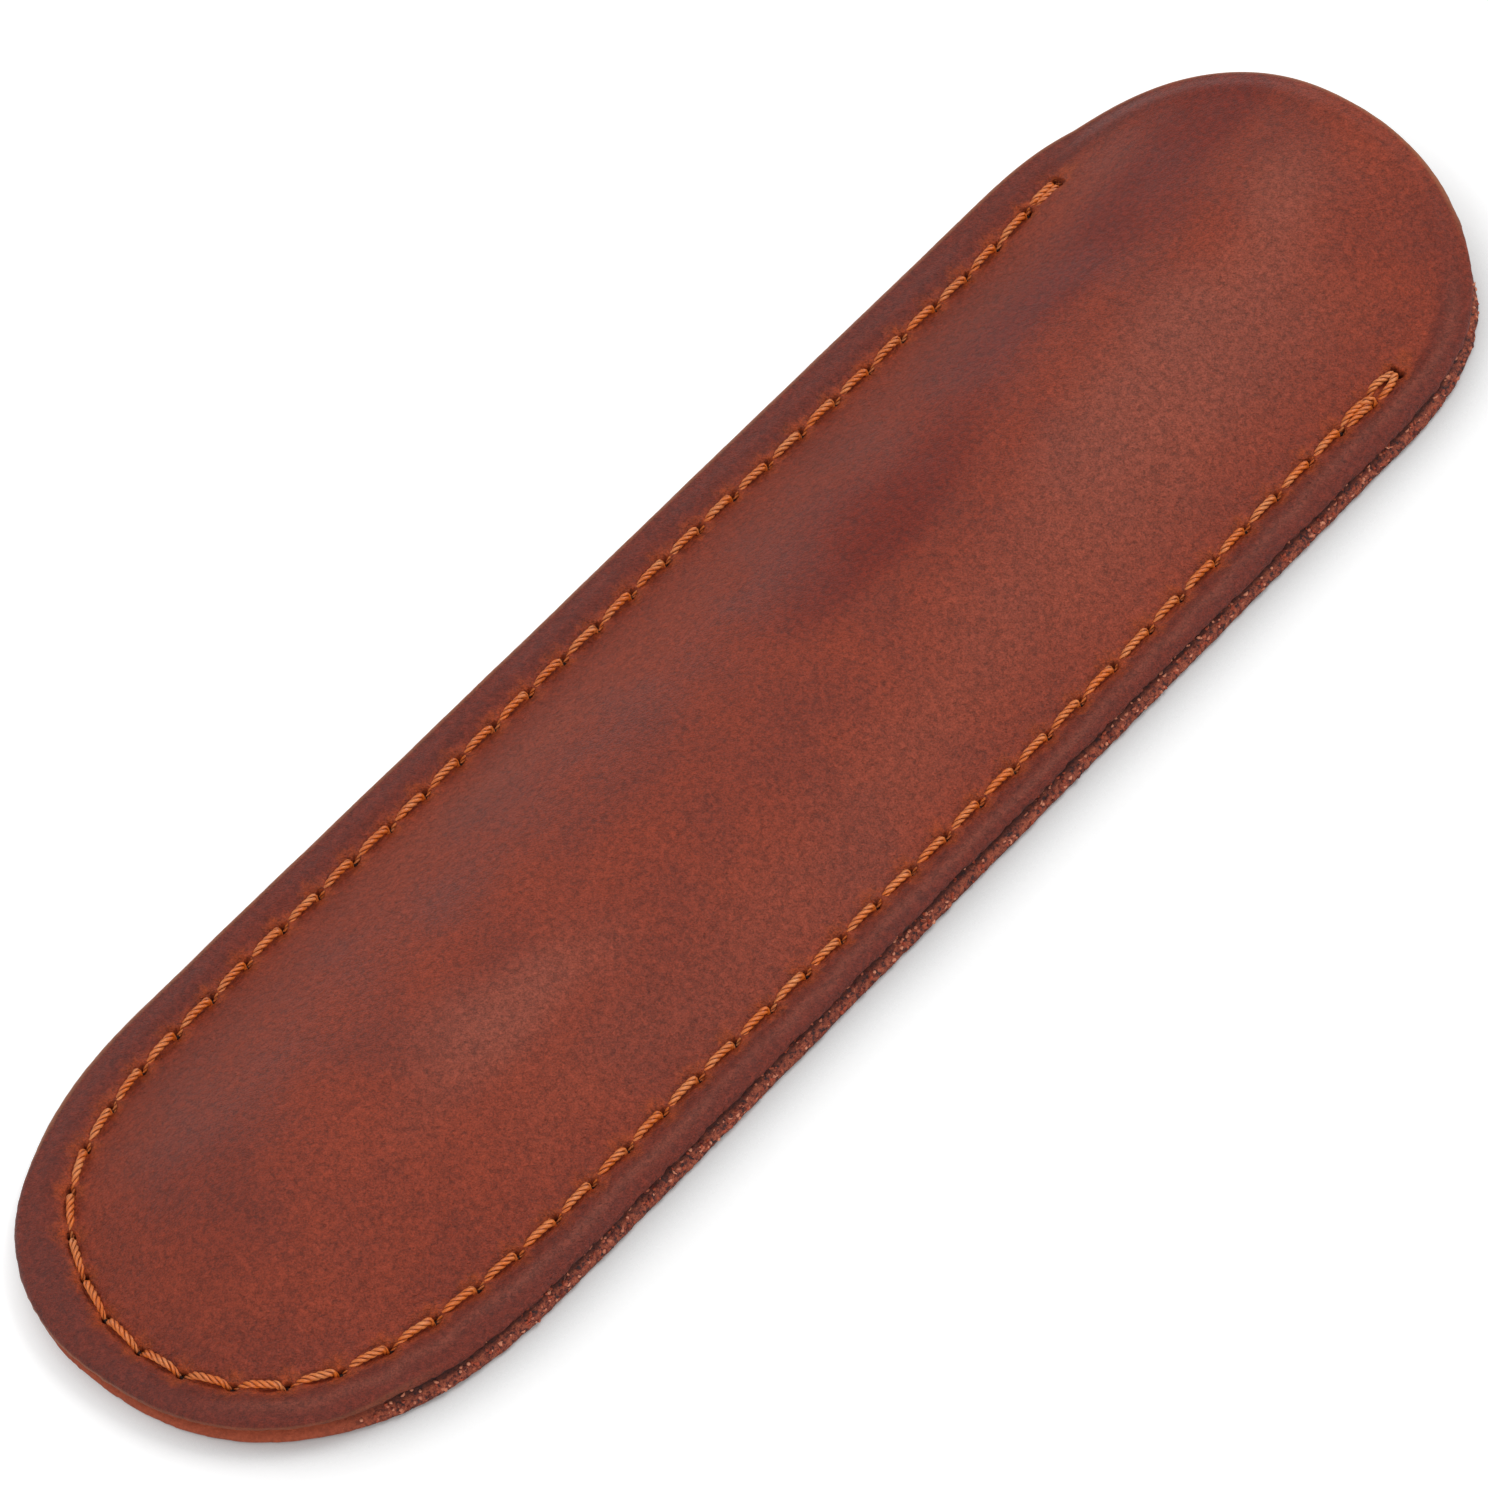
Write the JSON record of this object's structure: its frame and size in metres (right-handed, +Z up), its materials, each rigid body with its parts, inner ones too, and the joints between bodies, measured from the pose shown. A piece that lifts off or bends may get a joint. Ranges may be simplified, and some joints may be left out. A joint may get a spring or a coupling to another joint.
{
  "type": "pen sleeve",
  "caption": "Flat leather sleeve for a single pen: two round-ended panels sewn together round the edge, open at one end.",
  "frame": {"origin": "under the middle of the sleeve, on the plane that it lies on", "axes": "+X along the sleeve towards the open mouth, +Z up out of the front panel, away from the table"},
  "size_m": [0.15, 0.043, 0.0084],
  "materials": {
    "front_leather": "smooth pull-up grain with a waxy satin sheen",
    "back_leather": "smooth pull-up grain with a waxy satin sheen",
    "thread": "twisted three-strand sewing thread"
  },
  "bodies": {
    "root": {"front_panel": "front_leather", "back_panel": "back_leather", "top_thread": "thread", "under_thread": "thread"}
  },
  "joints": []
}
